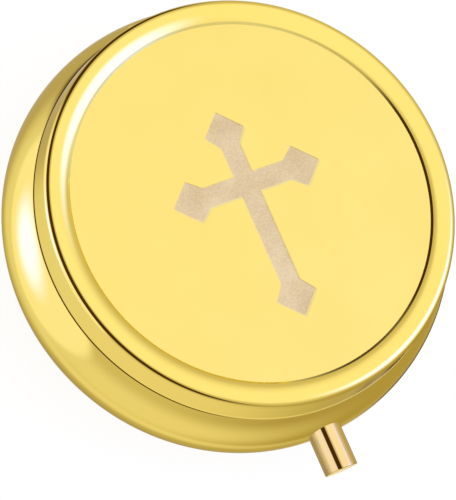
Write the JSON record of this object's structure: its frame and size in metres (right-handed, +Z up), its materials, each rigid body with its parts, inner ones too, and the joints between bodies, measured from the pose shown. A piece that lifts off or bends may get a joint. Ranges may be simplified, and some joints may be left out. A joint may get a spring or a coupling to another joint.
{
  "type": "pyx",
  "caption": "Round polished metal box for altar breads, with a bulged bowl, a hinged lid bearing an etched cross, and a push-button latch.",
  "frame": {"origin": "centre of the flat foot, on the surface that the box stands on", "axes": "+Z up through the lid, -Y towards the push button, +Y towards the hinge, +X to the right of someone facing the button"},
  "size_m": [0.05, 0.0543, 0.016],
  "materials": {
    "polished_gold": "mirror-polished gold plating on brass",
    "spring_steel": "plain spring steel"
  },
  "bodies": {
    "base": {"base_shell": "polished_gold", "base_collar": "polished_gold", "base_liner": "polished_gold", "button_bush": "polished_gold", "latch_spring": "spring_steel", "hinge_base_leaf": "polished_gold", "hinge_pin": "polished_gold", "lid_spring": "spring_steel"},
    "lid": {"lid_bezel": "polished_gold", "lid_plate": "polished_gold", "lid_pan": "polished_gold", "lid_retaining_ring": "polished_gold", "hinge_lid_leaf": "polished_gold", "lid_catch": "polished_gold"},
    "button": {"push_button": "polished_gold"}
  },
  "joints": [
    {"name": "lid_hinge", "type": "hinge", "parent": "base", "child": "lid", "pos_m": [0, 0.02245, 0.0122], "axis": [-1, 0, 0], "range_deg": [0, 105], "deforming": ["lid_spring"]},
    {"name": "button_slide", "type": "slide", "parent": "base", "child": "button", "axis": [0, 1, 0], "range_m": [0, 0.001], "stiffness_N_per_m": 1200, "springref_m": -0.0004, "deforming": ["latch_spring"]}
  ]
}
